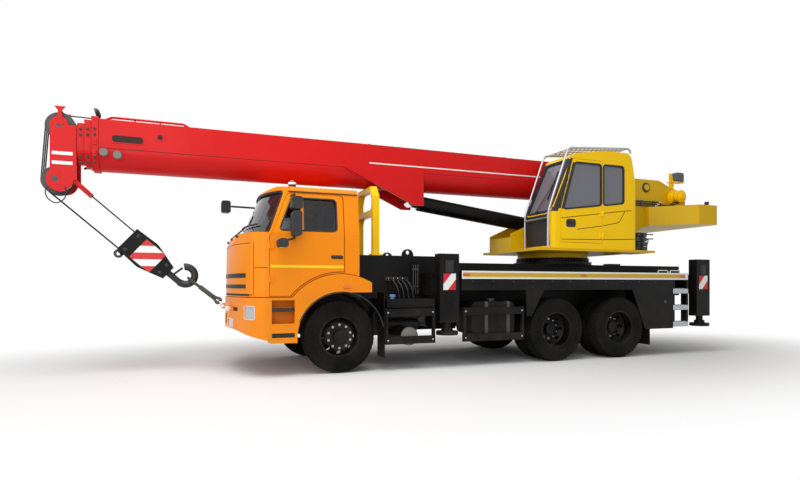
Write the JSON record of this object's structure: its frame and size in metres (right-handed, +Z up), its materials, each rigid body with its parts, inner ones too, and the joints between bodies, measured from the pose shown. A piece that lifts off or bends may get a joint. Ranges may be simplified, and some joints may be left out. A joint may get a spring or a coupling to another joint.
{
  "type": "mobile crane",
  "caption": "Truck-mounted telescopic crane with driver's cab, slewing superstructure, luffing boom, stowed hook block and extendable outriggers.",
  "frame": {"origin": "on the ground under the middle of the crane's bounding box", "axes": "+X forward, towards the driver's cab; +Y to the driver's left; +Z up"},
  "size_m": [11.445, 2.97, 3.6994],
  "materials": {
    "black_paint": "satin",
    "engine_metal": "rough",
    "cab_orange": "gloss",
    "glass": "gloss",
    "dark_plastic": "matte",
    "lamp_lens": "gloss",
    "crane_yellow": "gloss",
    "boom_red": "gloss",
    "sheave_grey": "satin",
    "bright_steel": "polished",
    "rail_aluminium": "satin",
    "hook_iron": "satin",
    "tyre": "matte"
  },
  "bodies": {
    "chassis": {"chassis_frame": "black_paint", "crane_base": "black_paint", "deck_panels": "black_paint", "engine": "engine_metal", "axles_and_springs": "black_paint", "cab_shell": "cab_orange", "cab_glass": "glass", "cab_interior": "dark_plastic", "cab_fittings": "dark_plastic", "bumper": "cab_orange", "lamps": "lamp_lens", "front_arches": "cab_orange", "boom_rest": "crane_yellow", "side_tanks": "black_paint"},
    "driver_door_left": {"door_left": "cab_orange", "door_left_glass": "glass", "mirrors_left": "dark_plastic"},
    "driver_door_right": {"door_right": "cab_orange", "door_right_glass": "glass", "mirrors_right": "dark_plastic"},
    "steering_knuckle_left": {"knuckle_left": "black_paint"},
    "steering_knuckle_right": {"knuckle_right": "black_paint"},
    "wheel_front_left": {"tyre_front_left": "tyre", "rim_front_left": "black_paint"},
    "wheel_front_right": {"tyre_front_right": "tyre", "rim_front_right": "black_paint"},
    "wheel_mid_left": {"tyres_mid_left": "tyre", "rims_mid_left": "black_paint"},
    "wheel_mid_right": {"tyres_mid_right": "tyre", "rims_mid_right": "black_paint"},
    "wheel_rear_left": {"tyres_rear_left": "tyre", "rims_rear_left": "black_paint"},
    "wheel_rear_right": {"tyres_rear_right": "tyre", "rims_rear_right": "black_paint"},
    "superstructure": {"turntable": "crane_yellow", "counterweight": "crane_yellow", "winch": "sheave_grey", "upper_cab": "crane_yellow", "upper_cab_glass": "glass", "upper_cab_interior": "dark_plastic", "cab_rails": "rail_aluminium"},
    "operator_door": {"upper_cab_door": "crane_yellow", "upper_door_glass": "glass"},
    "luff_cylinder": {"cylinder_barrel": "black_paint"},
    "luff_rod": {"cylinder_rod": "bright_steel"},
    "boom": {"boom_base": "boom_red"},
    "boom_2": {"boom_section_2": "boom_red"},
    "boom_3": {"boom_section_3": "boom_red"},
    "boom_4": {"boom_tip": "boom_red", "head_sheaves": "sheave_grey"},
    "hook_on_falls": {"hook_block": "black_paint", "hook": "hook_iron"},
    "outrigger_front_left": {"beam_front_left": "black_paint"},
    "jack_leg_front_left": {"jack_front_left": "bright_steel"},
    "outrigger_rear_left": {"beam_rear_left": "black_paint"},
    "jack_leg_rear_left": {"jack_rear_left": "bright_steel"},
    "outrigger_front_right": {"beam_front_right": "black_paint"},
    "jack_leg_front_right": {"jack_front_right": "bright_steel"},
    "outrigger_rear_right": {"beam_rear_right": "black_paint"},
    "jack_leg_rear_right": {"jack_rear_right": "bright_steel"}
  },
  "joints": [
    {"name": "steer_left", "type": "hinge", "parent": "chassis", "child": "steering_knuckle_left", "pos_m": [1.8275, 0.855, 0.525], "axis": [0, 0, 1], "range_deg": [-33, 33]},
    {"name": "wheel_front_left_spin", "type": "hinge", "parent": "steering_knuckle_left", "child": "wheel_front_left", "pos_m": [1.8275, 1.021, 0.525], "axis": [0, 1, 0], "continuous": true},
    {"name": "wheel_mid_left_spin", "type": "hinge", "parent": "chassis", "child": "wheel_mid_left", "pos_m": [-1.8625, 0.945, 0.525], "axis": [0, 1, 0], "continuous": true},
    {"name": "wheel_rear_left_spin", "type": "hinge", "parent": "chassis", "child": "wheel_rear_left", "pos_m": [-3.1825, 0.945, 0.525], "axis": [0, 1, 0], "continuous": true},
    {"name": "driver_door_left_hinge", "type": "hinge", "parent": "chassis", "child": "driver_door_left", "pos_m": [2.8305, 1.2293, 1.6], "axis": [0, 0, -1], "range_deg": [0, 70]},
    {"name": "outrigger_front_left_slide", "type": "slide", "parent": "chassis", "child": "outrigger_front_left", "axis": [0, 1, 0], "range_m": [0, 1.6]},
    {"name": "jack_leg_front_left_slide", "type": "slide", "parent": "outrigger_front_left", "child": "jack_leg_front_left", "axis": [0, 0, -1], "range_m": [0, 0.55]},
    {"name": "outrigger_rear_left_slide", "type": "slide", "parent": "chassis", "child": "outrigger_rear_left", "axis": [0, 1, 0], "range_m": [0, 1.6]},
    {"name": "jack_leg_rear_left_slide", "type": "slide", "parent": "outrigger_rear_left", "child": "jack_leg_rear_left", "axis": [0, 0, -1], "range_m": [0, 0.55]},
    {"name": "steer_right", "type": "hinge", "parent": "chassis", "child": "steering_knuckle_right", "pos_m": [1.8275, -0.855, 0.525], "axis": [0, 0, 1], "range_deg": [-33, 33]},
    {"name": "wheel_front_right_spin", "type": "hinge", "parent": "steering_knuckle_right", "child": "wheel_front_right", "pos_m": [1.8275, -1.021, 0.525], "axis": [0, 1, 0], "continuous": true},
    {"name": "wheel_mid_right_spin", "type": "hinge", "parent": "chassis", "child": "wheel_mid_right", "pos_m": [-1.8625, -0.945, 0.525], "axis": [0, 1, 0], "continuous": true},
    {"name": "wheel_rear_right_spin", "type": "hinge", "parent": "chassis", "child": "wheel_rear_right", "pos_m": [-3.1825, -0.945, 0.525], "axis": [0, 1, 0], "continuous": true},
    {"name": "driver_door_right_hinge", "type": "hinge", "parent": "chassis", "child": "driver_door_right", "pos_m": [2.8305, -1.2293, 1.6], "axis": [0, 0, 1], "range_deg": [0, 70]},
    {"name": "outrigger_front_right_slide", "type": "slide", "parent": "chassis", "child": "outrigger_front_right", "axis": [0, -1, 0], "range_m": [0, 1.6]},
    {"name": "jack_leg_front_right_slide", "type": "slide", "parent": "outrigger_front_right", "child": "jack_leg_front_right", "axis": [0, 0, -1], "range_m": [0, 0.55]},
    {"name": "outrigger_rear_right_slide", "type": "slide", "parent": "chassis", "child": "outrigger_rear_right", "axis": [0, -1, 0], "range_m": [0, 1.6]},
    {"name": "jack_leg_rear_right_slide", "type": "slide", "parent": "outrigger_rear_right", "child": "jack_leg_rear_right", "axis": [0, 0, -1], "range_m": [0, 0.55]},
    {"name": "slew", "type": "hinge", "parent": "chassis", "child": "superstructure", "pos_m": [-2.6725, 0, 1.8], "axis": [0, 0, 1], "continuous": true},
    {"name": "operator_door_hinge", "type": "hinge", "parent": "superstructure", "child": "operator_door", "pos_m": [-2.8305, 1.2143, 2.6], "axis": [0, 0, 1], "range_deg": [0, 90]},
    {"name": "boom_luff", "type": "hinge", "parent": "superstructure", "child": "boom", "pos_m": [-4.6325, 0, 3.2], "axis": [0, -1, 0], "range_deg": [0, 78]},
    {"name": "cylinder_swing", "type": "hinge", "parent": "superstructure", "child": "luff_cylinder", "pos_m": [-2.7725, 0, 2.31], "axis": [0, -1, 0], "range_deg": [0, 86.35]},
    {"name": "cylinder_stroke", "type": "slide", "parent": "luff_cylinder", "child": "luff_rod", "axis": [0.9919, 0, 0.1272], "range_m": [0, 2.5262]},
    {"name": "telescope_2", "type": "slide", "parent": "boom", "child": "boom_2", "axis": [1, 0, 0], "range_m": [0, 7.3]},
    {"name": "telescope_3", "type": "slide", "parent": "boom_2", "child": "boom_3", "axis": [1, 0, 0], "range_m": [0, 7.3]},
    {"name": "telescope_4", "type": "slide", "parent": "boom_3", "child": "boom_4", "axis": [1, 0, 0], "range_m": [0, 7.3]},
    {"name": "hook_swing", "type": "hinge", "parent": "boom_4", "child": "hook_on_falls", "pos_m": [5.5375, 0, 2.7], "axis": [0, 1, 0], "range_deg": [-48.3, 29.7]}
  ],
  "couplings": [
    {"joint": "steer_right", "follows": "steer_left", "ratio": 1},
    {"joint": "cylinder_swing", "follows": "boom_luff", "ratio": 1.1064},
    {"joint": "cylinder_stroke", "follows": "boom_luff", "m_per_rad": 1.8549},
    {"joint": "telescope_3", "follows": "telescope_2", "ratio": 1},
    {"joint": "telescope_4", "follows": "telescope_2", "ratio": 1}
  ]
}
